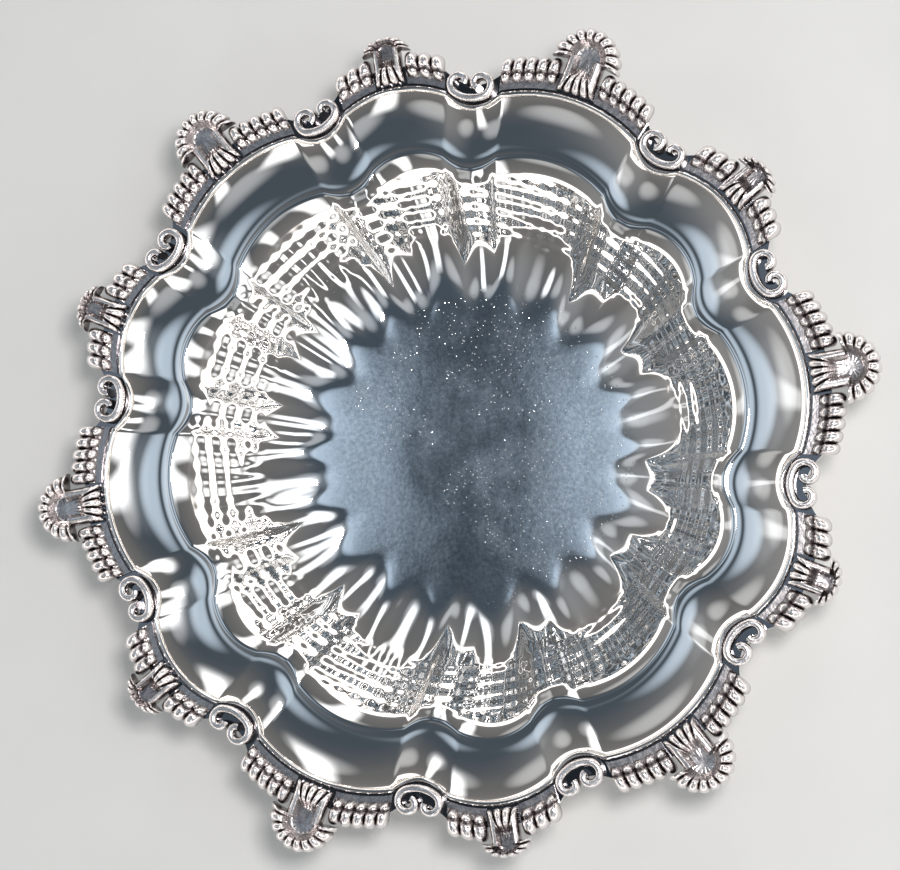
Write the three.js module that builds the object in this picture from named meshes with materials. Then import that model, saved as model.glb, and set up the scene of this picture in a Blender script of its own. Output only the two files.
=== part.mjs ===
// A silver bonbon dish: one raised bowl with a flat floor, a fluted well and a twelve-lobed rim, edged
// with soldered castings. Gadroons run along the lobes, a shell crowns each lobe and a scroll fills
// each notch.
// Millimetres, +Z up. The origin is the middle of the flat underside, and a large lobe lies along +X.
import * as THREE from "three";

const { degToRad, lerp, mapLinear } = THREE.MathUtils;

// Driving dimensions of the bowl
const LOBE_PAIRS = 6; // each pair is one large and one small lobe
const SHEET = 1.0; // thickness of the metal
const WELL_DEPTH = 18.6; // from the floor up to the crest of the shoulder
const MARLY_RISE = 3.0; // from the crest up to the border's seat
const MARLY_DIP = 10; // degrees at which the metal falls away outside the crest
const MARLY_LIP = 42; // degrees at which it rises to the seat
const MARLY_DIP_REACH = 2.0; // how far the marly keeps to the dip before it straightens
const MARLY_LIP_REACH = 3.0; // how far it turns up to the lip
const FOOT_BEND = 19; // radius of the hollow curve where the wall leaves the floor
const SHOULDER_BEND = 8; // radius of the rounded shoulder
const RIDGE_BEND = 2; // tighter radius of the ridge that tops it
const RIDGE_SLOPE = 24; // degrees at which the shoulder turns into the ridge
const SEAT_WIDTH = 5.0; // flat edge that carries the border
const BEAD_WIDTH = 1.2; // plain bead along the inner edge of the seat
const BEAD_HEIGHT = 0.8;

// Radii in plan through the middle of a lobe, and how much nearer to the axis each line runs in a notch
const FLOOR_RADIUS = 30.5;
const CREST_RADIUS = 57;
const SEAT_RADIUS = 68;
const FLOOR_FOLD = 4.0;
const CREST_FOLD = 4.2;
const SEAT_FOLD = 4.8;

// Angles in degrees about the axis: half a small lobe, and half the fold in a notch
const SMALL_LOBE_AT_FLOOR = 11.4;
const SMALL_LOBE_AT_RIM = 13.4;
const FOLD_AT_FLOOR = 5;
const FOLD_AT_CREST = 5.5;
const FOLD_AT_RIM = 4.6;
const CREASE = 0.42; // share of the fold's depth that a lobe has sunk at the crease beside the fold

// The rib that parts the foot of a large lobe into two flutes
const RIB_HEIGHT = 8; // height above the floor at which it has faded out
const RIB_STRENGTH = 0.8; // depth of its fold beside a notch's fold

// Driving dimensions of the border
const SOLDER_GAP = 0.3; // between the castings, and between them and the bead
const SCROLL_GAP = 0.9; // along the curved seat between a roll and the gadroons
const COVE_WIDTH = 1.1; // hollow between the bead and the gadroons
const COVE_HEIGHT = 0.4; // of the metal under the hollow
const GADROON_LENGTH = 5.2;
const GADROON_HEIGHT = 2.6;
const GADROON_PITCH = 2.4;
const GROOVE_DEPTH = 1.1; // between two gadroons

// A shell's neck lies between the gadroons, and its ribbed lip rises beyond them round a hollow
const SHELL_HEIGHT = 3.2;
const SHELL_HOLLOW_HEIGHT = 0.6;
const SHELL_EDGE_HEIGHT = 1.4;
const SHELL_RIB_DEPTH = 0.6;
const LARGE_SHELL = { width: 13.4, rise: 6.8, lip: 3.6, neck: 7.2, eye: 1.4, ribs: 9, teeth: 4 };
const SMALL_SHELL = { width: 9.4, rise: 3.0, lip: 1.3, neck: 5.6, eye: 1.1, ribs: 7, teeth: 3 };

// A scroll's back follows the notch and ends in two rolls, each at an angle in degrees along the back
const SCROLL_BACK_RADIUS = 6;
const SCROLL_BAND = 1.5; // width of the rolled band
const SCROLL_HEIGHT = 2.4;
const SCROLL_SHOULDER = 1.7; // height of the band's edges
const SCROLL_TURN_GAP = 0.3; // between one turn of the band and the next
const SCROLL_EYE = 0.85; // radius at which the band ends
const LARGE_ROLL = { radius: 2.4, at: 25 }; // on the side of the large lobe
const SMALL_ROLL = { radius: 2.1, at: 38 };

// Worked out from the driving dimensions
const SEAT_Z = SHEET + WELL_DEPTH + MARLY_RISE;
const CASTING_INSET = BEAD_WIDTH + SOLDER_GAP;
const BORDER_WIDTH = CASTING_INSET + COVE_WIDTH + GADROON_LENGTH;
const PAIR_ANGLE = (2 * Math.PI) / LOBE_PAIRS;

// Fineness of the facets
const LARGE_LOBE_COLUMNS = 3; // between a lobe's middle and its crease
const SMALL_LOBE_COLUMNS = 2;
const FOLD_COLUMNS = 2; // between a crease and the notch
const FOOT_SLOPES = [0, 0.35, 0.7, 1];
const MARLY_STEPS = [0, 0.25, 0.55, 0.8]; // shares of the curve from the shoulder to the lip
const GADROON_SWELL = [0, 1, 1]; // groove, then the two edges of a gadroon's crown
const GADROON_ARC = [165, 110, 55, 0]; // degrees over the half-round of a gadroon
const SCROLL_STEPS_PER_TURN = 9;
const SCROLL_BACK_STEPS = 3;

const BENDS_AT_MOST = 0.98; // of what fits between the floor and the crest

const silver = new THREE.MeshStandardMaterial({ color: 0xc9ced6, metalness: 1, roughness: 0.12 });
const castSilver = new THREE.MeshStandardMaterial({ color: 0xcdc8ca, metalness: 1, roughness: 0.28 });

function polar(angle, radius, z) {
  return new THREE.Vector3(radius * Math.cos(angle), radius * Math.sin(angle), z);
}

function middleOf(points) {
  const sum = new THREE.Vector3();
  points.forEach((point) => sum.add(point));
  return sum.divideScalar(points.length);
}

// A closed skin over rings of equally many points, drawn together to a point at either end
function skin(firstPole, rings, lastPole) {
  const count = rings[0].length;
  const points = [firstPole, ...rings.flat(), lastPole];
  const last = points.length - 1;
  const at = (ring, i) => 1 + ring * count + (i % count);
  let faces = [];
  for (let i = 0; i < count; i++) {
    faces.push([0, at(0, i), at(0, i + 1)]);
    faces.push([last, at(rings.length - 1, i + 1), at(rings.length - 1, i)]);
    for (let ring = 0; ring + 1 < rings.length; ring++) {
      faces.push([at(ring, i), at(ring + 1, i), at(ring + 1, i + 1)]);
      faces.push([at(ring, i), at(ring + 1, i + 1), at(ring, i + 1)]);
    }
  }
  // A mirrored piece has its faces turned, so that every skin faces out
  const volume = faces.reduce(
    (sum, [a, b, c]) => sum + points[a].dot(points[b].clone().cross(points[c])),
    0,
  );
  if (volume < 0) faces = faces.map(([a, b, c]) => [a, c, b]);
  return new THREE.BufferGeometry().setFromPoints(points).setIndex(faces.flat());
}

// The lobes in order round the rim, each with its middle angle and its half width at the floor and rim
function lobes() {
  const found = [];
  for (let pair = 0; pair < LOBE_PAIRS; pair++) {
    found.push({
      large: true,
      middle: pair * PAIR_ANGLE,
      halfAtFloor: PAIR_ANGLE / 2 - degToRad(SMALL_LOBE_AT_FLOOR),
      halfAtRim: PAIR_ANGLE / 2 - degToRad(SMALL_LOBE_AT_RIM),
      columns: LARGE_LOBE_COLUMNS,
      shell: LARGE_SHELL,
      roll: LARGE_ROLL,
    });
    found.push({
      large: false,
      middle: (pair + 0.5) * PAIR_ANGLE,
      halfAtFloor: degToRad(SMALL_LOBE_AT_FLOOR),
      halfAtRim: degToRad(SMALL_LOBE_AT_RIM),
      columns: SMALL_LOBE_COLUMNS,
      shell: SMALL_SHELL,
      roll: SMALL_ROLL,
    });
  }
  return found;
}

// How far the lobe's line has sunk towards the notch: 0 on its crown, 1 in the notch. It bows down to a
// crease and folds over into the notch from there. The fold's share of the half lobe is given.
function sunk(across, fold, crease) {
  const panel = 1 - fold;
  const t = Math.abs(across);
  return t < panel ? crease * (t / panel) ** 2 : 1 - (1 - crease) * ((1 - t) / fold) ** 2;
}

// Places across a lobe from one notch on, closest to each other in the folds
function placesAcross(columns, fold) {
  const panel = 1 - fold;
  const half = [
    ...Array.from({ length: columns }, (_, i) => (panel * i) / columns),
    ...Array.from({ length: FOLD_COLUMNS + 1 }, (_, i) => panel + (fold * i) / FOLD_COLUMNS),
  ];
  return [...half.slice(1).reverse().map((t) => -t), ...half.slice(0, -1)];
}

// A value between those at the floor, the crest and the rim, by the distance from the axis
function blend(radius, atFloor, atCrest, atRim) {
  return radius < CREST_RADIUS
    ? mapLinear(radius, FLOOR_RADIUS, CREST_RADIUS, atFloor, atCrest)
    : mapLinear(radius, CREST_RADIUS, SEAT_RADIUS, atCrest, atRim);
}

// Stations up the inside of the bowl in one upright plane: distance from the axis, height above the
// floor, and the slope of the metal. An S of two bends and a straight wall rises from the floor to the
// shoulder, which would top out beyond the crest but breaks off in a tighter ridge. The marly runs from
// the ridge almost straight to its lip.
function stations(floorRadius, crestRadius, seatRadius) {
  const ridge = degToRad(RIDGE_SLOPE);
  const topRadius = crestRadius + (SHOULDER_BEND - RIDGE_BEND) * Math.sin(ridge);
  const top = WELL_DEPTH + (SHOULDER_BEND - RIDGE_BEND) * (1 - Math.cos(ridge));
  const run = topRadius - floorRadius;
  const room = (run ** 2 + top ** 2) / (2 * top);
  const foot = Math.min(FOOT_BEND, BENDS_AT_MOST * room - SHOULDER_BEND);
  const bends = foot + SHOULDER_BEND;
  const straight = Math.sqrt(run ** 2 + (top - bends) ** 2 - bends ** 2);
  const steepest = Math.atan2(bends, straight) - Math.atan2(bends - top, run);
  const seat = WELL_DEPTH + MARLY_RISE;
  const dip = degToRad(MARLY_DIP);
  const lip = degToRad(MARLY_LIP);
  const from = new THREE.Vector2(
    crestRadius + RIDGE_BEND * Math.sin(dip),
    WELL_DEPTH - RIDGE_BEND * (1 - Math.cos(dip)),
  );
  const to = new THREE.Vector2(seatRadius, seat);
  const marly = new THREE.CubicBezierCurve(
    from,
    new THREE.Vector2(Math.cos(dip), -Math.sin(dip)).multiplyScalar(MARLY_DIP_REACH).add(from),
    new THREE.Vector2(Math.cos(lip), Math.sin(lip)).multiplyScalar(-MARLY_LIP_REACH).add(to),
    to,
  );

  const arc = (radius, height, bend, slope) => ({
    radius: radius + bend * Math.sin(slope),
    height: height + bend * (1 - Math.cos(slope)),
    slope,
    thickness: SHEET,
  });
  return [
    ...FOOT_SLOPES.map((share) => arc(floorRadius, 0, foot, share * steepest)),
    arc(topRadius, top, -SHOULDER_BEND, steepest),
    arc(topRadius, top, -SHOULDER_BEND, ridge),
    arc(crestRadius, WELL_DEPTH, -RIDGE_BEND, 0),
    ...MARLY_STEPS.map((share) => {
      const { x, y } = marly.getPoint(share);
      return { radius: x, height: y, slope: marly.getTangent(share).angle(), thickness: SHEET };
    }),
    { radius: seatRadius, height: seat, slope: lip / 2, thickness: SHEET / Math.cos(lip / 2) },
    { radius: seatRadius + SEAT_WIDTH, height: seat, slope: 0, thickness: SHEET },
  ];
}

// Stations over the bead, which thickens the sheet along the inner edge of the seat
function beadStations(seatRadius) {
  const seat = WELL_DEPTH + MARLY_RISE;
  return [
    { radius: seatRadius + BEAD_WIDTH / 2, height: seat + BEAD_HEIGHT },
    { radius: seatRadius + BEAD_WIDTH, height: seat },
  ];
}

// The same station on the other side of the metal
function underside({ radius, height, slope, thickness }) {
  return {
    radius: radius + thickness * Math.sin(slope),
    height: height - thickness * Math.cos(slope),
  };
}

// One ring round the bowl, between the station in a notch and the station on a lobe's crown. A guide, the
// crown's station on the inside, sets the widths of lobes and folds and the strength of the middle rib.
function bowlRing(crown, notch, guide) {
  const reach = Math.min(guide.radius, SEAT_RADIUS);
  const fold = blend(reach, FOLD_AT_FLOOR, FOLD_AT_CREST, FOLD_AT_RIM);
  const creased = blend(reach, 0, 1, 1);
  const split = RIB_STRENGTH * Math.max(0, 1 - guide.height / RIB_HEIGHT);
  return lobes().flatMap((lobe) => {
    const half = mapLinear(reach, FLOOR_RADIUS, SEAT_RADIUS, lobe.halfAtFloor, lobe.halfAtRim);
    const share = degToRad(fold) / half;
    return placesAcross(lobe.columns, share).map((across) => {
      const whole = sunk(across, share, lerp(1 - share, CREASE, creased));
      const parted = sunk(2 * Math.abs(across) - 1, 2 * share, 1 - 2 * share);
      const depth = lobe.large ? lerp(whole, parted, split) : whole;
      return polar(
        lobe.middle + across * half,
        lerp(crown.radius, notch.radius, depth),
        SHEET + lerp(crown.height, notch.height, depth),
      );
    });
  });
}

function bowl() {
  const crowns = stations(FLOOR_RADIUS, CREST_RADIUS, SEAT_RADIUS);
  const notches = stations(
    FLOOR_RADIUS - FLOOR_FOLD,
    CREST_RADIUS - CREST_FOLD,
    SEAT_RADIUS - SEAT_FOLD,
  );
  const inside = crowns.map((crown, i) => bowlRing(crown, notches[i], crown));
  const outside = crowns.map((crown, i) => bowlRing(underside(crown), underside(notches[i]), crown));
  const notchBead = beadStations(SEAT_RADIUS - SEAT_FOLD);
  const bead = beadStations(SEAT_RADIUS).map((crown, i) => bowlRing(crown, notchBead[i], crown));
  return skin(
    new THREE.Vector3(0, 0, SHEET),
    [...inside.slice(0, -1), ...bead, inside.at(-1), ...outside.reverse()],
    new THREE.Vector3(0, 0, 0),
  );
}

// The inner edge of the border's seat, from the crown of a lobe to the notch on one side of it
class SeatEdge extends THREE.Curve {
  constructor(lobe, side) {
    super();
    this.lobe = lobe;
    this.side = side;
  }
  getPoint(across, target = new THREE.Vector3()) {
    const { middle, halfAtRim } = this.lobe;
    const depth = sunk(across, degToRad(FOLD_AT_RIM) / halfAtRim, CREASE);
    const radius = SEAT_RADIUS - SEAT_FOLD * depth;
    return target.copy(polar(middle + this.side * across * halfAtRim, radius, SEAT_Z));
  }
}

// The border's section as distances out from the seat's edge and up from the seat: a cove and a
// half-round, which is lower and shorter in a groove (swell 0) than on a gadroon (swell 1)
function borderSection(swell) {
  const groove = GROOVE_DEPTH * (1 - swell);
  const half = GADROON_LENGTH / 2;
  const round = GADROON_ARC.map((degrees) => {
    const reach = Math.cos(degToRad(degrees));
    return [
      BORDER_WIDTH - half + half * reach - groove * Math.max(0, reach),
      (GADROON_HEIGHT - groove) * Math.sin(degToRad(degrees)),
    ];
  });
  return [[CASTING_INSET, 0], [CASTING_INSET, COVE_HEIGHT], ...round];
}

// How far a scroll reaches along the rim from the notch to the outside of one of its rolls
function rollReach({ radius, at }) {
  return (SCROLL_BACK_RADIUS - radius) * Math.sin(degToRad(at)) + radius + SCROLL_BAND / 2;
}

// A length of gadroons between a shell and a scroll
function gadroons(lobe, side) {
  const edge = new SeatEdge(lobe, side);
  const start = lobe.shell.neck / 2 + SOLDER_GAP;
  const end = edge.getLength() - rollReach(lobe.roll) - SCROLL_GAP;
  const count = Math.max(1, Math.round((end - start) / GADROON_PITCH));
  const steps = count * GADROON_SWELL.length;
  const place = (along, [reach, up]) => {
    const foot = edge.getPointAt(lerp(start, end, along) / edge.getLength());
    const out = new THREE.Vector3(foot.x, foot.y, 0).normalize();
    return foot.addScaledVector(out, reach).setZ(SEAT_Z + up);
  };
  const rings = Array.from({ length: steps + 1 }, (_, step) =>
    borderSection(GADROON_SWELL[step % GADROON_SWELL.length]).map((spot) => place(step / steps, spot)),
  );
  // Each end is drawn together low under the gadroon, a spot in sight of the whole section
  const heart = [BORDER_WIDTH - GADROON_LENGTH / 2, COVE_HEIGHT / 2];
  return skin(place(0, heart), rings, place(1, heart));
}

// How far the gadroons reach out from the seat's edge at a distance aside from a lobe's middle
function borderReach(lobe, aside) {
  const angle = Math.asin(aside / (SEAT_RADIUS + BORDER_WIDTH));
  const foot = new SeatEdge(lobe, 1).getPoint(angle / lobe.halfAtRim);
  return (Math.hypot(foot.x, foot.y) + BORDER_WIDTH) * Math.cos(angle) - SEAT_RADIUS;
}

// A scallop shell, spread out from a point in its hollow. The metal swells up all round the hollow: into
// the ribbed lip beyond the gadroons, and into a toothed boss on the neck between them.
function shell(lobe) {
  const { width, rise, lip, neck, eye, ribs, teeth } = lobe.shell;
  const tip = BORDER_WIDTH + rise;
  const foot = borderReach(lobe, width / 2) + SOLDER_GAP;
  const dipAt = (i) => (i % 2 ? SHELL_RIB_DEPTH : 0);
  const arch = Array.from({ length: 2 * ribs + 1 }, (_, i) => {
    const turn = lerp(-Math.PI / 2, Math.PI / 2, i / (2 * ribs));
    return {
      out: foot + (tip - foot - dipAt(i)) * Math.cos(turn),
      aside: (width / 2 - dipAt(i)) * Math.sin(turn),
      dip: dipAt(i),
    };
  });
  const boss = Array.from({ length: 2 * teeth + 1 }, (_, i) => ({
    out: CASTING_INSET + dipAt(i),
    aside: lerp(neck / 2, -neck / 2, i / (2 * teeth)),
    dip: dipAt(i),
  }));
  const corner = borderReach(lobe, neck / 2) + SOLDER_GAP;
  const outline = [
    ...arch,
    { out: corner, aside: neck / 2, dip: 0 },
    ...boss,
    { out: corner, aside: -neck / 2, dip: 0 },
  ];
  const hollow = BORDER_WIDTH + eye;
  const swells = [
    { share: 1 - lip / (rise - eye), up: SHELL_HOLLOW_HEIGHT },
    { share: 1 - lip / 2 / (rise - eye), up: SHELL_HEIGHT },
    { share: 1, up: SHELL_EDGE_HEIGHT },
    { share: 1, up: 0 },
  ];
  const radial = polar(lobe.middle, 1, 0);
  const tangent = polar(lobe.middle + Math.PI / 2, 1, 0);
  const place = (out, aside, up) =>
    radial
      .clone()
      .multiplyScalar(SEAT_RADIUS + out)
      .addScaledVector(tangent, aside)
      .setZ(SEAT_Z + up);
  const rings = swells.map(({ share, up }) =>
    outline.map(({ out, aside, dip }) =>
      place(lerp(hollow, out, share), aside * share, up && up - share * dip),
    ),
  );
  return skin(place(hollow, 0, SHELL_HOLLOW_HEIGHT), rings, place(hollow, 0, 0));
}

// Stations along a roll from the scroll's back in to its eye: the centre, the angle and the distance of
// the band's middle line, with the back's own centre at the origin
function rollStations({ radius, at }, side) {
  const turns = (radius - SCROLL_EYE) / (SCROLL_BAND + SCROLL_TURN_GAP);
  const steps = Math.ceil(turns * SCROLL_STEPS_PER_TURN);
  const start = side * degToRad(at);
  const inset = SCROLL_BACK_RADIUS - radius;
  return Array.from({ length: steps + 1 }, (_, step) => ({
    aside: inset * Math.sin(start),
    back: inset * Math.cos(start),
    angle: start + (side * 2 * Math.PI * turns * step) / steps,
    distance: lerp(radius, SCROLL_EYE, step / steps),
  }));
}

// A scroll in the notch beside a small lobe: a band on edge with a roll at either end
function scroll(lobe, side) {
  const notch = lobe.middle + side * lobe.halfAtRim;
  const half = SCROLL_BAND / 2;
  const section = [
    [-half, 0],
    [half, 0],
    [half, SCROLL_SHOULDER],
    [0, SCROLL_HEIGHT],
    [-half, SCROLL_SHOULDER],
  ];
  const back = Array.from({ length: SCROLL_BACK_STEPS - 1 }, (_, step) => ({
    aside: 0,
    back: 0,
    angle: degToRad(lerp(-SMALL_ROLL.at, LARGE_ROLL.at, (step + 1) / SCROLL_BACK_STEPS)),
    distance: SCROLL_BACK_RADIUS,
  }));
  const spine = [...rollStations(SMALL_ROLL, -1).reverse(), ...back, ...rollStations(LARGE_ROLL, 1)];
  const centre = SEAT_RADIUS - SEAT_FOLD + CASTING_INSET + half + SCROLL_BACK_RADIUS;
  const radial = polar(notch, 1, 0);
  const tangent = polar(notch + side * (Math.PI / 2), 1, 0);
  const rings = spine.map((station) =>
    section.map(([reach, up]) => {
      const distance = station.distance + reach;
      return radial
        .clone()
        .multiplyScalar(centre - station.back - distance * Math.cos(station.angle))
        .addScaledVector(tangent, station.aside + distance * Math.sin(station.angle))
        .setZ(SEAT_Z + up);
    }),
  );
  return skin(middleOf(rings[0]), rings, middleOf(rings.at(-1)));
}

const dish = new THREE.Group();

function add(name, geometry, material) {
  const mesh = new THREE.Mesh(geometry, material);
  mesh.name = name;
  dish.add(mesh);
}

add("bowl", bowl(), silver);
lobes().forEach((lobe, i) => {
  const pair = Math.floor(i / 2) + 1;
  add(`${lobe.large ? "large" : "small"}_shell_${pair}`, shell(lobe), castSilver);
  [-1, 1].forEach((side, k) => {
    add(`gadroons_${2 * i + k + 1}`, gadroons(lobe, side), castSilver);
    if (!lobe.large) add(`scroll_${i + k}`, scroll(lobe, side), castSilver);
  });
});

export default dish;
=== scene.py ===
"""The looks of a silver bonbon dish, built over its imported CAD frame.

One smooth piece stands for each CAD node: the raised bowl and the cast gadroons, shells and scrolls of
its border. Shapes are worked out in millimetres, as in the part, and meshes are made in metres.
"""

import math

import bpy
import numpy as np
from mathutils import Matrix, Vector


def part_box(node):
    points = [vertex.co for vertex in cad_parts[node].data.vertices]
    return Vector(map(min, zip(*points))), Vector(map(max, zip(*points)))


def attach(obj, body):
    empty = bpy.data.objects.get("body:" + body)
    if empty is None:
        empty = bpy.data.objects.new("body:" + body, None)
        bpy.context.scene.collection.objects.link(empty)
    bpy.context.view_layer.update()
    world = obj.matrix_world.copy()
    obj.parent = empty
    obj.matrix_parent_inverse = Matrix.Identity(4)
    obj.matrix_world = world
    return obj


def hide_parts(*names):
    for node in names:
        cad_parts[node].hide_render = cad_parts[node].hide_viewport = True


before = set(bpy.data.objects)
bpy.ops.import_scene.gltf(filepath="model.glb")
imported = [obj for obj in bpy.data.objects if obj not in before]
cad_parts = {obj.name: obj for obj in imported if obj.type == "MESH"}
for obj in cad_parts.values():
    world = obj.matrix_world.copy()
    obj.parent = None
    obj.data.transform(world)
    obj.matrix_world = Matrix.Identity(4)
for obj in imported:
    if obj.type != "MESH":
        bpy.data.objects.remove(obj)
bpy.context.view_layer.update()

MM = 0.001

# The bowl, from the frame and in the part's own sizes
SHEET = 1.0
MARLY_RISE = 3.0  # from the crest up to the border's seat
MARLY_DIP = math.radians(10)  # at which the metal falls away outside the crest
MARLY_LIP = math.radians(42)  # at which it rises to the seat
MARLY_DIP_REACH = 2.0  # how far the marly keeps to the dip before it straightens
MARLY_LIP_REACH = 3.0  # how far it turns up to the lip
SEAT_WIDTH = 5.0
BEAD_WIDTH = 1.2  # plain bead along the inner edge of the seat
BEAD_HEIGHT = 0.8
SEAT_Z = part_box("gadroons_1")[0][2] / MM
WELL_DEPTH = SEAT_Z - MARLY_RISE - SHEET
FOOT_BEND = 19  # radius of the hollow curve where the wall leaves the floor
SHOULDER_BEND = 8  # radius of the rounded shoulder
RIDGE_BEND = 2  # tighter radius of the ridge that tops it
RIDGE_SLOPE = math.radians(24)  # at which the shoulder turns into the ridge
FLOOR_RADIUS = 30.5
CREST_RADIUS = 57.0
SEAT_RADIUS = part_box("bowl")[1][0] / MM - SEAT_WIDTH
FLOOR_FOLD = 4.0
CREST_FOLD = 4.2
SEAT_FOLD = 4.8
LOBE_PAIRS = 6
SMALL_LOBE_AT_FLOOR = math.radians(11.4)
SMALL_LOBE_AT_RIM = math.radians(13.4)
FOLD_AT_FLOOR = math.radians(5)
FOLD_AT_CREST = math.radians(5.5)
FOLD_AT_RIM = math.radians(4.6)
CREASE = 0.42  # share of the fold's depth that a lobe has sunk at the crease beside the fold
RIB_HEIGHT = 8  # height above the floor at which the fold down a large lobe's middle has faded out
RIB_STRENGTH = 0.8  # depth of that fold beside a notch's fold
BENDS_AT_MOST = 0.98  # of what fits between the floor and the crest

# The border
SOLDER_GAP = 0.3
SCROLL_GAP = 0.9  # along the curved seat between a roll and the gadroons
COVE_WIDTH = 1.1  # hollow between the bead and the gadroons
COVE_HEIGHT = 0.4  # of the metal under the hollow
GADROON_LENGTH = 5.2
GADROON_HEIGHT = 2.6
GADROON_PITCH = 2.4
GROOVE_DEPTH = 1.1  # between two gadroons, seen from above
VALLEY_DEPTH = 1.7  # between two gadroons, down from their crowns
GADROON_CREST = 0.6  # share of its length at which a gadroon is highest
GADROON_POINT = 0.6  # width of its inner end as a share of the whole width
GADROON_NICK = 0.4  # depth of the nick across it as a share of its height
NICK_AT = 0.36  # share of its length at which the nick lies
NICK_WIDTH = 0.07
SHELL_HEIGHT = 3.2
SHELL_HOLLOW_HEIGHT = 0.6
SHELL_EDGE_HEIGHT = 1.4
SHELL_RIB_DEPTH = 0.6  # between two ribs, seen from above
SHELL_BEAD_DEPTH = 1.2  # between two ribs, down from their crests
BOSS_FALL = 0.7  # from the middle of the boss to its sides
LARGE_SHELL = {"width": 13.4, "rise": 6.8, "lip": 3.6, "neck": 7.2, "eye": 1.4, "ribs": 9, "teeth": 4}
SMALL_SHELL = {"width": 9.4, "rise": 3.0, "lip": 1.3, "neck": 5.6, "eye": 1.1, "ribs": 7, "teeth": 3}
SCROLL_BACK_RADIUS = 6
SCROLL_BAND = 1.5  # width of the rolled band
SCROLL_HEIGHT = 2.4
SCROLL_SHOULDER = 1.7  # height of the band's edges
SCROLL_TURN_GAP = 0.3  # between one turn of the band and the next
SCROLL_EYE = 0.85  # radius at which the band ends
LARGE_ROLL = {"radius": 2.4, "at": math.radians(25)}
SMALL_ROLL = {"radius": 2.1, "at": math.radians(38)}
CASTING_INSET = BEAD_WIDTH + SOLDER_GAP
BORDER_WIDTH = CASTING_INSET + COVE_WIDTH + GADROON_LENGTH
PAIR_ANGLE = 2 * math.pi / LOBE_PAIRS

# Fineness of the meshes
LARGE_LOBE_COLUMNS = 22  # between a lobe's middle and its crease
SMALL_LOBE_COLUMNS = 14
FOLD_COLUMNS = 12  # between a crease and the notch
EDGE_STEPS = 400
FLOOR_RINGS = 10
BEND_STEPS = 14
WALL_STEPS = 5
MARLY_STEPS = 20
BEAD_STEPS = 8
GADROON_STEPS = 12
GADROON_ARC_STEPS = 30
RIB_STEPS = 8
SHELL_STEPS = 9
SCROLL_STEPS_PER_TURN = 36
SCROLL_BACK_STEPS = 12
SCROLL_ARC_STEPS = 8
SHARP_ANGLE = math.radians(38)  # between faces that meet in a sharp edge


def lerp(a, b, t):
    return a + (b - a) * t


def polar(angle, radius, z):
    """Points at an angle round the axis, a distance from it and a height."""
    angle, radius, z = np.broadcast_arrays(angle, radius, z)
    return np.stack([radius * np.cos(angle), radius * np.sin(angle), z], axis=-1)


def new_object(name, data):
    """An object that puts a mesh, a camera or a lamp in the scene."""
    made = bpy.data.objects.new(name, data)
    bpy.context.collection.objects.link(made)
    return made


def skin(name, first_pole, rings, last_pole):
    """A closed mesh over rings of equally many points, drawn together to a point at either end."""
    rings = np.asarray(rings, float)
    count = rings.shape[1]
    points = np.concatenate([[first_pole], rings.reshape(-1, 3), [last_pole]]) * MM
    index = 1 + np.arange(rings.shape[0] * count).reshape(rings.shape[0], count)
    after = np.roll(index, -1, axis=1)
    quads = np.stack([index[:-1], index[1:], after[1:], after[:-1]], axis=-1).reshape(-1, 4)
    last = np.full(count, len(points) - 1)
    fans = np.concatenate(
        [
            np.stack([np.zeros(count, int), index[0], after[0]], axis=-1),
            np.stack([last, after[-1], index[-1]], axis=-1),
        ]
    )
    a, b, c, d = (points[quads[:, k]] for k in range(4))
    volume = np.einsum("ij,ij->", a, np.cross(b, c) + np.cross(c, d))
    if volume < 0:
        quads, fans = quads[:, ::-1], fans[:, ::-1]
    mesh = bpy.data.meshes.new(name)
    mesh.from_pydata(points.tolist(), [], quads.tolist() + fans.tolist())
    mesh.shade_smooth()
    mesh.set_sharp_from_angle(angle=SHARP_ANGLE)
    return new_object(name, mesh)


def lobes():
    """The lobes in order round the rim."""
    found = []
    for pair in range(LOBE_PAIRS):
        found.append(
            {
                "large": True,
                "middle": pair * PAIR_ANGLE,
                "half_at_floor": PAIR_ANGLE / 2 - SMALL_LOBE_AT_FLOOR,
                "half_at_rim": PAIR_ANGLE / 2 - SMALL_LOBE_AT_RIM,
                "columns": LARGE_LOBE_COLUMNS,
                "shell": LARGE_SHELL,
                "roll": LARGE_ROLL,
            }
        )
        found.append(
            {
                "large": False,
                "middle": (pair + 0.5) * PAIR_ANGLE,
                "half_at_floor": SMALL_LOBE_AT_FLOOR,
                "half_at_rim": SMALL_LOBE_AT_RIM,
                "columns": SMALL_LOBE_COLUMNS,
                "shell": SMALL_SHELL,
                "roll": SMALL_ROLL,
            }
        )
    return found


def sunk(across, fold, crease):
    """How far a lobe's line has sunk towards the notch: 0 on its crown, 1 in the notch."""
    t = np.abs(across)
    panel = crease * (t / (1 - fold)) ** 2
    return np.where(t < 1 - fold, panel, 1 - (1 - crease) * ((1 - t) / fold) ** 2)


def places_across(columns, fold):
    """Places across a lobe from one notch on, with a row of points along each crease."""
    panel = np.linspace(0, 1 - fold, columns, endpoint=False)
    half = np.concatenate([panel, np.linspace(1 - fold, 1, FOLD_COLUMNS + 1)])
    return np.concatenate([-half[:0:-1], half[:-1]])


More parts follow.
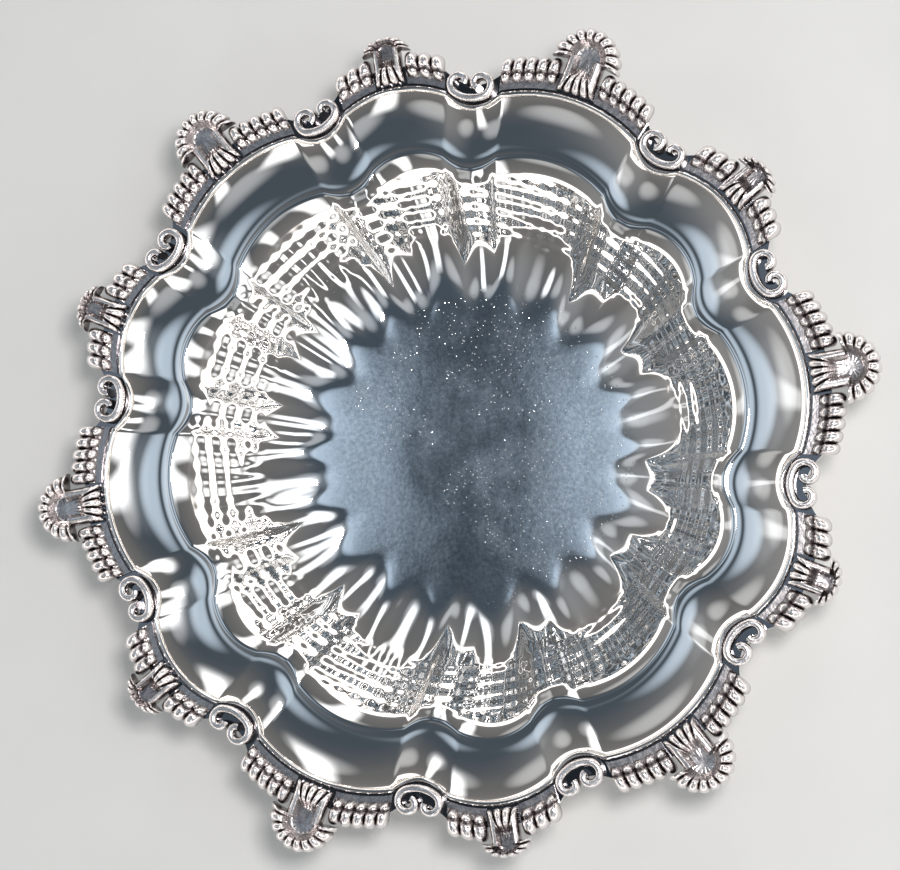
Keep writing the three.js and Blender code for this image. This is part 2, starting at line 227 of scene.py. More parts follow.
def stations(floor_radius, crest_radius, seat_radius):
    """Rows of distance from the axis, height above the floor, slope and thickness up the bowl's inside."""
    spare = SHOULDER_BEND - RIDGE_BEND
    top_radius = crest_radius + spare * math.sin(RIDGE_SLOPE)
    top = WELL_DEPTH + spare * (1 - math.cos(RIDGE_SLOPE))
    run = top_radius - floor_radius
    room = (run**2 + top**2) / (2 * top)
    foot = min(FOOT_BEND, BENDS_AT_MOST * room - SHOULDER_BEND)
    bends = foot + SHOULDER_BEND
    straight = math.sqrt(run**2 + (top - bends) ** 2 - bends**2)
    steepest = math.atan2(bends, straight) - math.atan2(bends - top, run)
    seat = WELL_DEPTH + MARLY_RISE
    begin = np.array(
        [
            crest_radius + RIDGE_BEND * math.sin(MARLY_DIP),
            WELL_DEPTH - RIDGE_BEND * (1 - math.cos(MARLY_DIP)),
        ]
    )
    end = np.array([seat_radius, seat])
    falling = begin + MARLY_DIP_REACH * np.array([math.cos(MARLY_DIP), -math.sin(MARLY_DIP)])
    rising = end - MARLY_LIP_REACH * np.array([math.cos(MARLY_LIP), math.sin(MARLY_LIP)])
    t = np.linspace(0, 1, MARLY_STEPS)[:-1, None]
    left = 1 - t
    curve = left**3 * begin + 3 * left**2 * t * falling + 3 * left * t**2 * rising + t**3 * end
    along = left**2 * (falling - begin) + 2 * left * t * (rising - falling) + t**2 * (end - rising)
    marly = [[*spot, math.atan2(way[1], way[0]), SHEET] for spot, way in zip(curve, along)]

    def arc(radius, height, bend, slopes):
        return [[radius + bend * math.sin(s), height + bend * (1 - math.cos(s)), s, SHEET] for s in slopes]

    floor = [[floor_radius * k / FLOOR_RINGS, 0, 0, SHEET] for k in range(1, FLOOR_RINGS)]
    rise = arc(floor_radius, 0, foot, np.linspace(0, steepest, BEND_STEPS))
    over = arc(top_radius, top, -SHOULDER_BEND, np.linspace(steepest, RIDGE_SLOPE, BEND_STEPS))
    ridge_slopes = np.linspace(RIDGE_SLOPE, -MARLY_DIP, BEND_STEPS)[1:-1]
    over += arc(crest_radius, WELL_DEPTH, -RIDGE_BEND, ridge_slopes)
    wall = [[lerp(a, b, k / WALL_STEPS) for a, b in zip(rise[-1], over[0])] for k in range(1, WALL_STEPS)]
    edge = [
        [seat_radius, seat, MARLY_LIP / 2, SHEET / math.cos(MARLY_LIP / 2)],
        [seat_radius + SEAT_WIDTH, seat, 0, SHEET],
    ]
    return np.array(floor + rise + wall + over + marly + edge)


def bead_stations(seat_radius):
    """Rows of distance and height over the bead along the seat's inner edge."""
    turn = np.linspace(math.pi, 0, BEAD_STEPS)[1:]
    half = BEAD_WIDTH / 2
    seat = WELL_DEPTH + MARLY_RISE
    return np.stack([seat_radius + half + half * np.cos(turn), seat + BEAD_HEIGHT * np.sin(turn)], axis=-1)


def underside(rows):
    """Rows of distance and height under the metal, from the rows up its inside."""
    radius, height, slope, thickness = rows.T
    return np.stack([radius + thickness * np.sin(slope), height - thickness * np.cos(slope)], axis=-1)


def bowl_rings(crowns, notches, guides):
    """Rings round the bowl between the stations on a lobe's crown and in a notch."""
    rings = []
    for crown, notch, (guide_radius, guide_height) in zip(crowns, notches, guides):
        outward = min(1, (guide_radius - FLOOR_RADIUS) / (SEAT_RADIUS - FLOOR_RADIUS))
        inward = max(0, outward)
        fold = np.interp(
            guide_radius,
            (FLOOR_RADIUS, CREST_RADIUS, SEAT_RADIUS),
            (FOLD_AT_FLOOR, FOLD_AT_CREST, FOLD_AT_RIM),
        )
        creased = np.interp(guide_radius, (FLOOR_RADIUS, CREST_RADIUS), (0, 1))
        split = RIB_STRENGTH * max(0, 1 - guide_height / RIB_HEIGHT)
        ring = []
        for lobe in lobes():
            half = lerp(lobe["half_at_floor"], lobe["half_at_rim"], inward)
            share = fold / half
            across = places_across(lobe["columns"], share)
            depth = sunk(across, share, lerp(1 - share, CREASE, creased))
            if lobe["large"]:
                depth = lerp(depth, sunk(2 * np.abs(across) - 1, 2 * share, 1 - 2 * share), split)
            ring.append(
                polar(
                    lobe["middle"] + across * half,
                    lerp(crown[0], notch[0], depth),
                    SHEET + lerp(crown[1], notch[1], depth),
                )
            )
        rings.append(np.concatenate(ring))
    return rings


def bowl():
    """The bowl, from its floor up the inside, over the bead and the seat's rim, and back underneath."""
    crowns = stations(FLOOR_RADIUS, CREST_RADIUS, SEAT_RADIUS)
    notches = stations(FLOOR_RADIUS - FLOOR_FOLD, CREST_RADIUS - CREST_FOLD, SEAT_RADIUS - SEAT_FOLD)
    guides = crowns[:, :2]
    inside = bowl_rings(crowns, notches, guides)
    outside = bowl_rings(underside(crowns), underside(notches), guides)
    bead = bead_stations(SEAT_RADIUS)
    raised = bowl_rings(bead, bead_stations(SEAT_RADIUS - SEAT_FOLD), bead)
    rings = inside[:-1] + raised + inside[-1:] + outside[::-1]
    return skin("silver_bowl", (0, 0, SHEET), rings, (0, 0, 0))


def seat_edge(lobe, side, across):
    """Angle and distance of the seat's inner edge, from a lobe's crown (0) to the notch beside it (1)."""
    depth = sunk(across, FOLD_AT_RIM / lobe["half_at_rim"], CREASE)
    return lobe["middle"] + side * across * lobe["half_at_rim"], SEAT_RADIUS - SEAT_FOLD * depth


def edge_lengths(lobe):
    """Even steps from crown to notch, and the length of the seat's edge up to each."""
    across = np.linspace(0, 1, EDGE_STEPS)
    points = polar(*seat_edge(lobe, 1, across), 0)
    steps = np.linalg.norm(np.diff(points, axis=0), axis=1)
    return across, np.concatenate([[0], np.cumsum(steps)])


def roll_reach(roll):
    """How far a scroll's roll reaches along the seat from the notch."""
    return (SCROLL_BACK_RADIUS - roll["radius"]) * math.sin(roll["at"]) + roll["radius"] + SCROLL_BAND / 2


def gadroons(name, lobe, side):
    """A length of gadroons between a shell and a scroll."""
    across, lengths = edge_lengths(lobe)
    start = lobe["shell"]["neck"] / 2 + SOLDER_GAP
    end = lengths[-1] - roll_reach(lobe["roll"]) - SCROLL_GAP
    count = max(1, round((end - start) / GADROON_PITCH))
    turn = np.linspace(0, math.pi, GADROON_STEPS, endpoint=False)
    along = np.concatenate([(n + (1 - np.cos(turn)) / 2) / count for n in range(count)] + [[1]])
    asides = np.concatenate([np.cos(turn)] * count + [[1]])
    angle, foot = seat_edge(lobe, side, np.interp(lerp(start, end, along), lengths, across))
    inner = CASTING_INSET + COVE_WIDTH
    out = (1 - np.cos(np.linspace(0, math.pi, GADROON_ARC_STEPS))) / 2
    fall = (out - GADROON_CREST) / np.where(out < GADROON_CREST, GADROON_CREST, 1 - GADROON_CREST)
    dome = np.sqrt(1 - fall**2) * (1 - GADROON_NICK * np.exp(-(((out - NICK_AT) / NICK_WIDTH) ** 2)))
    spread_out = np.minimum(1, out / GADROON_CREST)
    width = lerp(GADROON_POINT, 1, spread_out * (2 - spread_out))
    ground = COVE_HEIGHT * (out < GADROON_CREST)
    rings = []
    for a, f, x in zip(angle, foot, asides):
        bulge = np.sqrt(1 - np.minimum(1, abs(x) / width) ** 2)
        nose = BORDER_WIDTH - GROOVE_DEPTH * (1 - math.sqrt(1 - x * x))
        up = np.maximum(ground, dome * (GADROON_HEIGHT - VALLEY_DEPTH * (1 - bulge)))
        reach = np.concatenate([[CASTING_INSET, CASTING_INSET], lerp(inner, nose, out)])
        rings.append(polar(a, f + reach, SEAT_Z + np.concatenate([[0, COVE_HEIGHT], up])))
    heart = BORDER_WIDTH - GADROON_LENGTH / 2, SEAT_Z + COVE_HEIGHT / 2
    poles = [polar(angle[k], foot[k] + heart[0], heart[1]) for k in (0, -1)]
    return skin(name, poles[0], rings, poles[1])


def border_reach(lobe, aside):
    """How far the gadroons reach out from the seat's edge at a distance aside from a lobe's middle."""
    angle = math.asin(aside / (SEAT_RADIUS + BORDER_WIDTH))
    _, foot = seat_edge(lobe, 1, angle / lobe["half_at_rim"])
    return (float(foot) + BORDER_WIDTH) * math.cos(angle) - SEAT_RADIUS


def rib_dips(ribs):
    """Even steps over a row of round ribs, and how deep each lies between two crests."""
    phase = np.arange(ribs * RIB_STEPS + 1) / RIB_STEPS
    off = 2 * np.abs(phase - np.round(phase))
    return phase / ribs, 1 - np.sqrt(1 - off**2)


def shell(name, lobe):
    """A scallop shell: a ribbed lip beyond the gadroons and a toothed boss between them, round a hollow."""
    made = lobe["shell"]
    tip = BORDER_WIDTH + made["rise"]
    foot = border_reach(lobe, made["width"] / 2) + SOLDER_GAP
    corner = border_reach(lobe, made["neck"] / 2) + SOLDER_GAP
    hollow = BORDER_WIDTH + made["eye"]
    share, dip = rib_dips(made["ribs"])
    turn = (share - 0.5) * math.pi
    cut = SHELL_RIB_DEPTH * dip
    arch = np.stack(
        [
            foot + (tip - foot - cut) * np.cos(turn),
            (made["width"] / 2 - cut) * np.sin(turn),
            SHELL_BEAD_DEPTH * dip,
        ],
        axis=-1,
    )
    share, dip = rib_dips(made["teeth"])
    round_off = BOSS_FALL * (2 * share - 1) ** 2
    boss = np.stack(
        [
            CASTING_INSET + SHELL_RIB_DEPTH * dip,
            (0.5 - share) * made["neck"],
            SHELL_BEAD_DEPTH * dip + round_off,
        ],
        axis=-1,
    )
    sides = np.linspace(0, 1, SHELL_STEPS)[1:-1, None]
    neck = np.array([corner, made["neck"] / 2, BOSS_FALL])
    flip = np.array([1, -1, 1])
    outline = np.concatenate(
        [
            arch,
            lerp(arch[-1], neck, sides),
            [neck],
            lerp(neck, boss[0], sides),
            boss,
            lerp(boss[-1], neck * flip, sides),
            [neck * flip],
            lerp(neck * flip, arch[0], sides),
        ]
    )
    reach = made["rise"] - made["eye"]
    inner, crest = 1 - made["lip"] / reach, 1 - made["lip"] / 2 / reach
    steps = np.linspace(0, 1, SHELL_STEPS)
    rise = SHELL_HOLLOW_HEIGHT + (SHELL_HEIGHT - SHELL_HOLLOW_HEIGHT) * (1 - np.cos(math.pi * steps)) / 2
    fall = SHELL_EDGE_HEIGHT + (SHELL_HEIGHT - SHELL_EDGE_HEIGHT) * np.sqrt(1 - steps**2)
    profile = list(zip(lerp(inner, crest, steps), rise)) + list(zip(lerp(crest, 1, steps), fall))[1:]

    def place(out, aside, up):
        radius, z = np.broadcast_arrays(SEAT_RADIUS + out, SEAT_Z + up)
        c, s = math.cos(lobe["middle"]), math.sin(lobe["middle"])
        return np.stack([radius * c - aside * s, radius * s + aside * c, z], axis=-1)

    rings = []
    for k, up in profile:
        grown = min(1, (k - inner) / (crest - inner))
        rings.append(place(lerp(hollow, outline[:, 0], k), outline[:, 1] * k, up - grown * outline[:, 2]))
    rings.append(place(outline[:, 0], outline[:, 1], np.zeros(len(outline))))
    middle = np.float64(0)
    return skin(name, place(hollow, middle, SHELL_HOLLOW_HEIGHT), rings, place(hollow, middle, 0))


def roll_stations(roll, side):
    """Rows along a roll from the scroll's back to its eye: centre, angle and distance of the band."""
    turns = (roll["radius"] - SCROLL_EYE) / (SCROLL_BAND + SCROLL_TURN_GAP)
    t = np.linspace(0, 1, math.ceil(turns * SCROLL_STEPS_PER_TURN) + 1)
    start = side * roll["at"]
    inset = SCROLL_BACK_RADIUS - roll["radius"]
    return np.stack(
        [
            np.full_like(t, inset * math.sin(start)),
            np.full_like(t, inset * math.cos(start)),
            start + side * 2 * math.pi * turns * t,
            lerp(roll["radius"], SCROLL_EYE, t),
        ],
        axis=-1,
    )


def scroll(name, lobe, side):
    """A scroll in the notch beside a small lobe: a band on edge with a roll at either end."""
    notch = lobe["middle"] + side * lobe["half_at_rim"]
    half = SCROLL_BAND / 2
    arc = np.linspace(0, math.pi, SCROLL_ARC_STEPS)
    across = np.concatenate([[-half, half], half * np.cos(arc)])
    up = np.concatenate([[0, 0], SCROLL_SHOULDER + (SCROLL_HEIGHT - SCROLL_SHOULDER) * np.sin(arc)])
    small, large = roll_stations(SMALL_ROLL, -1), roll_stations(LARGE_ROLL, 1)
    turn = np.linspace(-SMALL_ROLL["at"], LARGE_ROLL["at"], SCROLL_BACK_STEPS)[1:-1]
    nothing = np.zeros_like(turn)
    back = np.stack([nothing, nothing, turn, nothing + SCROLL_BACK_RADIUS], axis=-1)
    spine = np.concatenate([small[::-1], back, large])
    centre = SEAT_RADIUS - SEAT_FOLD + CASTING_INSET + half + SCROLL_BACK_RADIUS
    c, s = math.cos(notch), math.sin(notch)
    rings = []
    for shift, drop, angle, distance in spine:
        out = centre - drop - (distance + across) * math.cos(angle)
        aside = side * (shift + (distance + across) * math.sin(angle))
        rings.append(np.stack([out * c - aside * s, out * s + aside * c, SEAT_Z + up], axis=-1))
    return skin(name, rings[0].mean(axis=0), rings, rings[-1].mean(axis=0))


# Wear of the bowl, by the distances from the axis at which it begins and ends, and the painted shade on its
# seat
DULLED = (24, 34)  # the floor's wear fades out
AGED = (34, 42)  # the metal turns warmer
HOLLOWED = (10, 42)  # the floor looks slightly dished
HOLLOW_DEPTH = 1.7
EASED = (36, 56)  # the wall looks slightly less steep
EASE_SHARE = -0.9  # of the hollow's depth
WAVES_BEGIN = (40.5, 44)  # faint hammer waves on the wall
WAVES_END = (50.5, 53.5)
WAVE_LENGTH = 2.4
WAVES_ROUND = 108
WAVE_HEIGHT = 0.046
WAVE_DRIFT = 3.0  # radians by which the waves wander
SCRATCH_DEPTH = 2.0
SCRATCH_STRENGTH = 0.018
PIT_DEPTH = 0.3
PIT_STRENGTH = 0.5
PIT_EDGES = (0.05, 0.17)  # of a fleck, as shares of its cell
PITTED_SIDE = (0.99, 0.16, 0)  # where the flecks are thickest
PITTED_RISE = 6.0  # how fast they thicken towards it
PITTED = (0.44, 0.66)  # values at which there are no flecks, and all
POLISH = (0.03, 0.2)  # roughness where the metal is bright, and where it is dulled
SEAT_TOLERANCE = 0.03  # of the height that marks the seat, where shade between the castings is painted

# Wear of the castings, and painted shade in their recesses
RECESS_REACH = 3.0
RECESS_SAMPLES = 6
RECESSED = (0.35, 0.80)  # open share of the surroundings at which the metal is all tarnished and painted shaded, and all clean
LOW_CLEAN_AND_UNSHADED = 0.45  # how clean and unshaded the lowest metal is at most
CASTING_POLISH = (0.20, 0.30)
CASTING_SKIN_DEPTH = 0.5
CASTING_SKIN_STRENGTH = 0.12

# Noises: cells to a metre, detail and roughness
TONE_GRAIN = (60, 4, 0.5)
PATCH_GRAIN = (110, 6, 0.65)
SCUFF_GRAIN = (1300, 3, 0.7)
CLUSTER_GRAIN = (55, 3, 0.5)
DRIFT_GRAIN = (70, 2, 0.5)
SCRATCH_GRAIN = (420, 6, 0.7)
CASTING_TONE_GRAIN = (400, 4, 0.5)
CASTING_POLISH_GRAIN = (700, 4, 0.5)
CASTING_SKIN_GRAIN = (1500, 4, 0.5)
STUDIO_FLOOR_GRAIN = (40, 4, 0.5)
NOISE_RANGE = (0.3, 0.7)  # between which most of a noise's values lie
FLECKS_TO_A_METRE = 1200

# Colours: a noise blends the two of a pair
SILVER = ((0.85, 0.86, 0.87, 1), (0.93, 0.94, 0.95, 1))
SCUFFED_SILVER = (0.50, 0.53, 0.56, 1)
AGED_TINT = (1.0, 0.955, 0.91, 1)
# Painted shade: dark grey for the seat between the castings
SEAT_PAINTED_SHADE = (0.20, 0.20, 0.21, 1)
CASTING_SILVER = ((0.84, 0.79, 0.78, 1), (0.94, 0.90, 0.88, 1))
# Dark brown of the tarnish and painted shade in the castings' recesses
CASTING_TARNISH_AND_SHADE = (0.21, 0.18, 0.18, 1)
STUDIO_FLOOR = ((0.66, 0.66, 0.64, 1), (0.72, 0.72, 0.70, 1))
STUDIO_FLOOR_ROUGHNESS = 0.7


class Nodes:
    """A node tree, with short ways to add the nodes that the materials and the world are made of."""

    def __init__(self, tree, coordinates):
        self.tree = tree
        self.place = self.add("ShaderNodeTexCoord").outputs[coordinates]

    def put(self, socket, value):
        """Link another node's output to a socket, or set the socket to a plain value."""
        if isinstance(value, bpy.types.NodeSocket):
            self.tree.links.new(value, socket)
        else:
            socket.default_value = value

    def add(self, kind, *values, **settings):
        """A node with some settings, and values for its first sockets in order."""
        made = self.tree.nodes.new(kind)
        for key, value in settings.items():
            setattr(made, key, value)
        for socket, value in zip(made.inputs, values):
            self.put(socket, value)
        return made

    def fill(self, node, values):
        """Give values to a node's sockets by their names or numbers."""
        for key, value in values.items():
            self.put(node.inputs[key], value)
        return node

    def parts(self, vector):
        return self.add("ShaderNodeSeparateXYZ", vector).outputs

    def maths(self, operation, *values):
        return self.add("ShaderNodeMath", *values, operation=operation).outputs["Value"]

    def dot(self, towards):
        made = self.add("ShaderNodeVectorMath", self.place, towards, operation="DOT_PRODUCT")
        return made.outputs["Value"]

    def remap(self, value, reach, first=0.0, last=1.0, kind="LINEAR"):
        """A number that runs from first to last as a value goes from one end of its reach to the other."""
        made = self.add("ShaderNodeMapRange", value, *reach, first, last, interpolation_type=kind)
        return made.outputs["Result"]

    def ease(self, value, reach, first=0.0, last=1.0):
        return self.remap(value, reach, first, last, "SMOOTHSTEP")

    def noise(self, grain):
        scale, detail, roughness = grain
        made = self.add("ShaderNodeTexNoise")
        self.fill(made, {"Vector": self.place, "Scale": scale, "Detail": detail, "Roughness": roughness})
        return made.outputs["Fac"]

    def mix(self, share, first, second, blend="MIX"):
        """A blend of two colours, which are sockets 6 and 7 of such a node, and its output 2."""
        made = self.add("ShaderNodeMix", data_type="RGBA", blend_type=blend)
        return self.fill(made, {0: share, 6: first, 7: second}).outputs[2]

    def bump(self, height, distance, strength=1.0):
        made = self.add("ShaderNodeBump")
        return self.fill(made, {"Height": height, "Distance": distance, "Strength": strength})


def new_material(name):
    """A material, its shader's sockets and its nodes."""
    material = bpy.data.materials.new(name)
    material.use_nodes = True
    tree = material.node_tree
    return material, tree.nodes["Principled BSDF"].inputs, Nodes(tree, "Object")


def polished_silver():
    """Mirror-polished sheet, with a floor that use has dulled, scratched and flecked, and painted shade on
    the seat between the castings.
    """
    material, shader, nodes = new_material("polished_silver")
    x, y, z = nodes.parts(nodes.place)
    in_plan = nodes.add("ShaderNodeVectorMath", nodes.place, (1, 1, 0), operation="MULTIPLY")
    length = nodes.add("ShaderNodeVectorMath", in_plan.outputs["Vector"], operation="LENGTH")
    from_axis = length.outputs["Value"]
    upward = nodes.parts(nodes.add("ShaderNodeNewGeometry").outputs["True Normal"])["Z"]
    inside = nodes.maths("GREATER_THAN", upward, 0.0)

    def outward(reach, first=0.0, last=1.0):
        """A number that runs softly from first to last over a reach of distances from the axis."""
        return nodes.ease(from_axis, [r * MM for r in reach], first, last)

    worn = outward(DULLED, inside, 0.0)
    scuffs = nodes.remap(nodes.noise(SCUFF_GRAIN), NOISE_RANGE)
    tone = nodes.mix(nodes.noise(TONE_GRAIN), *SILVER)
    tone = nodes.mix(nodes.maths("MULTIPLY", scuffs, worn), tone, SCUFFED_SILVER)
    tone = nodes.mix(outward(AGED), tone, AGED_TINT, "MULTIPLY")
    # Painted shade: the flat seat, which the castings would shade, is coloured dark grey
    seat = nodes.maths("COMPARE", z, SEAT_Z * MM, SEAT_TOLERANCE * MM)
    nodes.put(shader["Base Color"], nodes.mix(seat, tone, SEAT_PAINTED_SHADE))
    shader["Metallic"].default_value = 1

    patches = nodes.remap(nodes.noise(PATCH_GRAIN), NOISE_RANGE)
    dull = nodes.remap(nodes.maths("MULTIPLY", patches, worn), (0.0, 1.0), *POLISH)
    cells = nodes.add("ShaderNodeTexVoronoi")
    nodes.fill(cells, {"Vector": nodes.place, "Scale": FLECKS_TO_A_METRE})
    flecks = nodes.remap(cells.outputs["Distance"], PIT_EDGES, 1.0, 0.0)
    thick = nodes.maths("MULTIPLY_ADD", nodes.dot(PITTED_SIDE), PITTED_RISE, nodes.noise(CLUSTER_GRAIN))
    clusters = nodes.maths("MULTIPLY", worn, nodes.remap(thick, PITTED))
    pits = nodes.maths("MULTIPLY", flecks, clusters)
    nodes.put(shader["Roughness"], nodes.maths("MAXIMUM", dull, pits))

    dish = nodes.maths("ADD", outward(HOLLOWED), outward(EASED, 0.0, EASE_SHARE))
    drift = nodes.maths("MULTIPLY", nodes.noise(DRIFT_GRAIN), WAVE_DRIFT)
    out_turns = nodes.maths("MULTIPLY_ADD", from_axis, 2 * math.pi / (WAVE_LENGTH * MM), drift)
    round_turns = nodes.maths("MULTIPLY_ADD", nodes.maths("ARCTAN2", y, x), WAVES_ROUND, drift)
    waves = nodes.maths("ADD", nodes.maths("SINE", out_turns), nodes.maths("SINE", round_turns))
    wall = nodes.maths("MULTIPLY", outward(WAVES_BEGIN, 0.0, inside), outward(WAVES_END, 1.0, 0.0))
    scratched = nodes.maths("MULTIPLY", worn, SCRATCH_STRENGTH)
    bumps = [
        nodes.bump(dish, HOLLOW_DEPTH * MM),
        nodes.bump(nodes.maths("MULTIPLY", waves, wall), WAVE_HEIGHT * MM),
        nodes.bump(nodes.noise(SCRATCH_GRAIN), SCRATCH_DEPTH * MM, scratched),
        nodes.bump(pits, PIT_DEPTH * MM, PIT_STRENGTH),
    ]
    for under, over in zip(bumps, bumps[1:]):
        nodes.put(over.inputs["Normal"], under.outputs["Normal"])
    nodes.put(shader["Normal"], bumps[-1].outputs["Normal"])
    return material


def cast_silver():
    """Bright cast silver, with tarnish and painted shade in the recesses and on the lowest metal."""
    material, shader, nodes = new_material("cast_silver")
    # Partly tarnish, partly painted shade: ambient occlusion and low height darken the metal towards dark
    # brown
    around = nodes.add("ShaderNodeAmbientOcclusion", samples=RECESS_SAMPLES)
    nodes.fill(around, {"Distance": RECESS_REACH * MM})
    open_share = nodes.remap(around.outputs["AO"], RECESSED)
    heights = (SEAT_Z + COVE_HEIGHT) * MM, (SEAT_Z + GADROON_HEIGHT / 2) * MM
    standing = nodes.remap(nodes.parts(nodes.place)["Z"], heights, LOW_CLEAN_AND_UNSHADED, 1.0)
    bright = nodes.mix(nodes.noise(CASTING_TONE_GRAIN), *CASTING_SILVER)
    tone = nodes.mix(nodes.maths("MULTIPLY", open_share, standing), CASTING_TARNISH_AND_SHADE, bright)
    nodes.put(shader["Base Color"], tone)
    shader["Metallic"].default_value = 1
    rough = nodes.remap(nodes.noise(CASTING_POLISH_GRAIN), NOISE_RANGE, *CASTING_POLISH)
    nodes.put(shader["Roughness"], rough)
    skin_bump = nodes.bump(nodes.noise(CASTING_SKIN_GRAIN), CASTING_SKIN_DEPTH * MM, CASTING_SKIN_STRENGTH)
    nodes.put(shader["Normal"], skin_bump.outputs["Normal"])
    return material


def pale_floor():
    """A plain matt studio floor."""
    material, shader, nodes = new_material("pale_floor")
    nodes.put(shader["Base Color"], nodes.mix(nodes.noise(STUDIO_FLOOR_GRAIN), *STUDIO_FLOOR))
    shader["Roughness"].default_value = STUDIO_FLOOR_ROUGHNESS
    return material


def stand_for(piece, node_name, material):
    """Show a piece in place of its CAD node."""
    piece.data.materials.append(material)
    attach(piece, "root")
    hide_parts(node_name)


sheet_silver, border_silver = polished_silver(), cast_silver()
stand_for(bowl(), "bowl", sheet_silver)
for i, lobe in enumerate(lobes()):
    kind = "large_shell" if lobe["large"] else "small_shell"
    number = i // 2 + 1
    stand_for(shell(f"silver_{kind}_{number}", lobe), f"{kind}_{number}", border_silver)
    for k, side in enumerate((-1, 1)):
        number = 2 * i + k + 1
        run = gadroons(f"silver_gadroons_{number}", lobe, side)
        stand_for(run, f"gadroons_{number}", border_silver)
        if not lobe["large"]:
            curl = scroll(f"silver_scroll_{i + k}", lobe, side)
            stand_for(curl, f"scroll_{i + k}", border_silver)

# Floor, camera and lamp, in metres and degrees
UP = Vector((0, 0, 1))
FLOOR_SIZE = 3.0  # from its middle to each side
FLOOR_DROP = 0.0001
TARGET = Vector((0.0008, 0.0009, SEAT_Z * MM))
CAMERA_AZIMUTH = -30.8
CAMERA_ELEVATION = 75.7
CAMERA_ROLL = math.radians(-8.9)
CAMERA_DISTANCE = 0.5
CAMERA_LENS = 105.8
LAMP_ASIDE = 0.05  # from the camera
LAMP_ABOVE = 0.06
LAMP_SIZE = 0.08
LAMP_POWER = 1.6
LAMP_COLOUR = (1.0, 0.96, 0.95)

# The world's light: its colour at sines of the elevation, and soft glows added to it, in degrees
SKY = (
    (0.0, (0.44, 0.43, 0.42)),
    (0.35, (0.19, 0.19, 0.19)),
    (0.75, (0.14, 0.145, 0.15)),
    (0.94, (0.065, 0.085, 0.107)),
)
MIRRORED = (149, 76)  # azimuth and elevation that the bowl's floor mirrors to the camera
SIDES = (-9, 171)  # azimuths beside that direction with glows of their own
SIDE_GLOWS = (  # angle off that direction, angles of the glow's core and edge, and colour
    (12.5, 3, 12, (0.45, 0.55, 0.66)),
    (26, 2, 14, (0.10, 0.11, 0.12)),
)
RING_TURNS = range(0, 360, 60)  # turns round that direction with a glow at each
RING_GLOW = (37, 2, 14, (0.35, 0.36, 0.37))
FILL = (171, 36, 6, 44, (0.09, 0.095, 0.10))  # azimuth, elevation, core, edge and colour
SILL = (1, 13, 3, (1.8, 1.73, 1.68))  # lowest and highest elevation, softness and colour
STRIPS = (  # azimuth, lowest and highest elevation, half width and colour
    (-23, 12, 76, 10, (1.3, 1.35, 1.4)),
    (5, 12, 76, 10, (1.3, 1.35, 1.4)),
    (-99, 12, 64, 9, (1.7, 1.75, 1.8)),
    (165, 10, 60, 4, (0.5, 0.52, 0.54)),
    (75, 10, 62, 9, (1.5, 1.55, 1.6)),
    (-58, 15, 60, 5, (1.6, 1.65, 1.7)),
)
STRIP_CORE = 1 / 3  # share of a strip's half width that is fully bright
STRIP_LENGTH_CORE = 0.4  # share of its length that is fully bright

floor_mesh = bpy.data.meshes.new("floor")
corners = [(x * FLOOR_SIZE, y * FLOOR_SIZE, -FLOOR_DROP) for x, y in ((-1, -1), (1, -1), (1, 1), (-1, 1))]
floor_mesh.from_pydata(corners, [], [(0, 1, 2, 3)])
floor_mesh.materials.append(pale_floor())
floor = new_object("floor", floor_mesh)


def direction(azimuth, elevation):
    a, e = math.radians(azimuth), math.radians(elevation)
    return Vector((math.cos(e) * math.cos(a), math.cos(e) * math.sin(a), math.sin(e)))


def facing(place, target, up):
    """A matrix at a place, whose -Z looks at the target."""
    back = (place - target).normalized()
    right = up.cross(back).normalized()
    turn = Matrix((right, back.cross(right), back)).transposed().to_4x4()
    return Matrix.Translation(place) @ turn


eye = TARGET + CAMERA_DISTANCE * direction(CAMERA_AZIMUTH, CAMERA_ELEVATION)
camera_data = bpy.data.cameras.new("camera")
camera_data.lens = CAMERA_LENS
camera = new_object("camera", camera_data)
camera.matrix_world = facing(eye, TARGET, Vector((-math.sin(CAMERA_ROLL), math.cos(CAMERA_ROLL), 0)))
bpy.context.scene.camera = camera

camera_right = camera.matrix_world.to_3x3() @ Vector((1, 0, 0))
camera_up = camera.matrix_world.to_3x3() @ Vector((0, 1, 0))
lamp_data = bpy.data.lights.new("front", "AREA")
lamp_data.shape = "SQUARE"
lamp_data.size = LAMP_SIZE
lamp_data.energy = LAMP_POWER
lamp_data.color = LAMP_COLOUR
lamp = new_object("front", lamp_data)
lamp.matrix_world = facing(eye + LAMP_ASIDE * camera_right + LAMP_ABOVE * camera_up, TARGET, UP)
lamp.visible_camera = False

world = bpy.data.worlds.new("studio")
world.use_nodes = True
bpy.context.scene.world = world
sky = Nodes(world.node_tree, "Generated")
sky_height = sky.parts(sky.place)["Z"]
ramp = sky.add("ShaderNodeValToRGB", sky_height)
stops = ramp.color_ramp.elements
for at, _ in SKY[1:-1]:
    stops.new(at)
for stop, (at, colour) in zip(stops, SKY):
    stop.position = at
    stop.color = (*colour, 1)


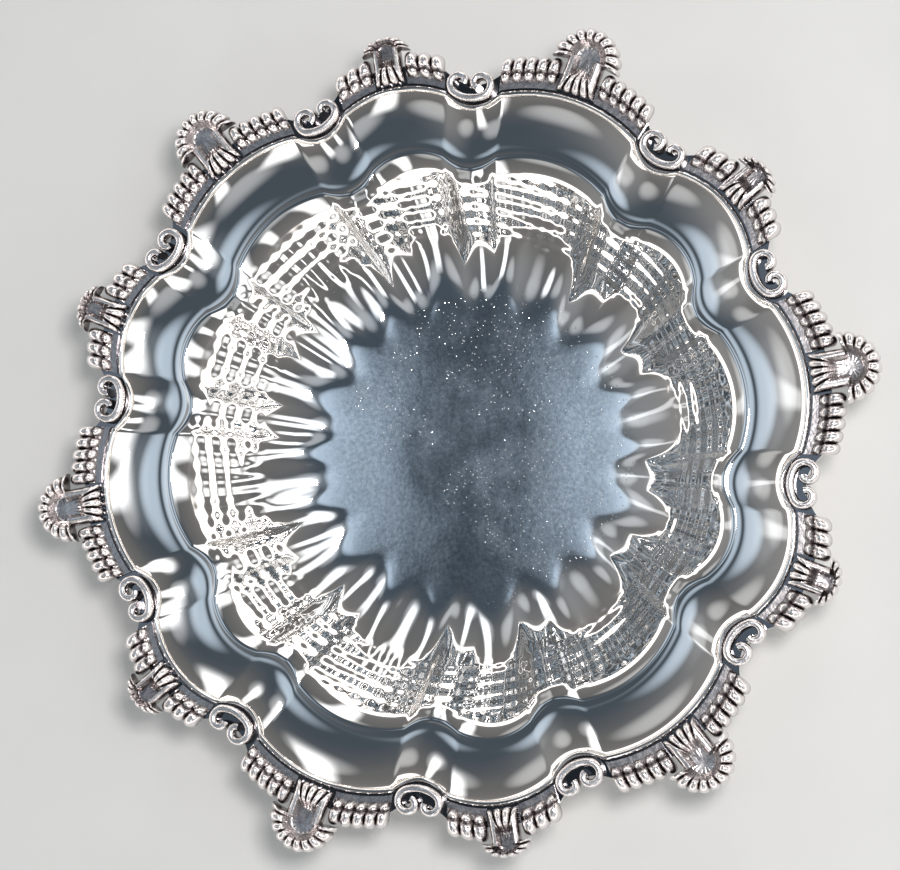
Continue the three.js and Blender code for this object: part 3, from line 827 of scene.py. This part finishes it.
def nearness(towards, core, edge):
    """1 for directions inside the core angle, falling softly to 0 at the edge angle."""
    return sky.ease(sky.dot(towards), [math.cos(math.radians(angle)) for angle in (edge, core)])


def upright(azimuth, low, high, half_width):
    """A strip of light that stands at an azimuth between two elevations."""
    off = sky.maths("ABSOLUTE", sky.dot(direction(azimuth + 90, 0)))
    across = sky.ease(off, [math.sin(math.radians(half_width * share)) for share in (1, STRIP_CORE)])
    half_length = (high - low) / 2
    middle = direction(azimuth, (low + high) / 2)
    return sky.maths("MULTIPLY", across, nearness(middle, STRIP_LENGTH_CORE * half_length, half_length))


def between(low, high, soft):
    """1 for directions between two elevations, falling softly to 0 beyond each."""
    shares = []
    for at, beyond in ((low, low - soft), (high, high + soft)):
        shares.append(sky.ease(sky_height, [math.sin(math.radians(angle)) for angle in (beyond, at)]))
    return sky.maths("MULTIPLY", *shares)


mirrored = direction(*MIRRORED)
level = mirrored.cross(UP).normalized()
sloping = mirrored.cross(level)


def beside_mirrored(off, turn):
    """A direction off the one that the bowl's floor mirrors, at a turn round it."""
    off, turn = math.radians(off), math.radians(turn)
    return math.cos(off) * mirrored + math.sin(off) * (math.cos(turn) * level + math.sin(turn) * sloping)


glows = []
for azimuth in SIDES:
    way = direction(azimuth, 0)
    side_turn = math.degrees(math.atan2(way.dot(sloping), way.dot(level)))
    for off, core, edge, colour in SIDE_GLOWS:
        glows.append((nearness(beside_mirrored(off, side_turn), core, edge), colour))
for ring_turn in RING_TURNS:
    off, core, edge, colour = RING_GLOW
    glows.append((nearness(beside_mirrored(off, ring_turn), core, edge), colour))
azimuth, elevation, core, edge, colour = FILL
glows.append((nearness(direction(azimuth, elevation), core, edge), colour))
*band, colour = SILL
glows.append((between(*band), colour))
for *strip, colour in STRIPS:
    glows.append((upright(*strip), colour))
light = ramp.outputs["Color"]
for share, colour in glows:
    light = sky.mix(share, light, (*colour, 1), "ADD")
sky.put(world.node_tree.nodes["Background"].inputs["Color"], light)

bpy.context.scene.view_settings.view_transform = "Standard"
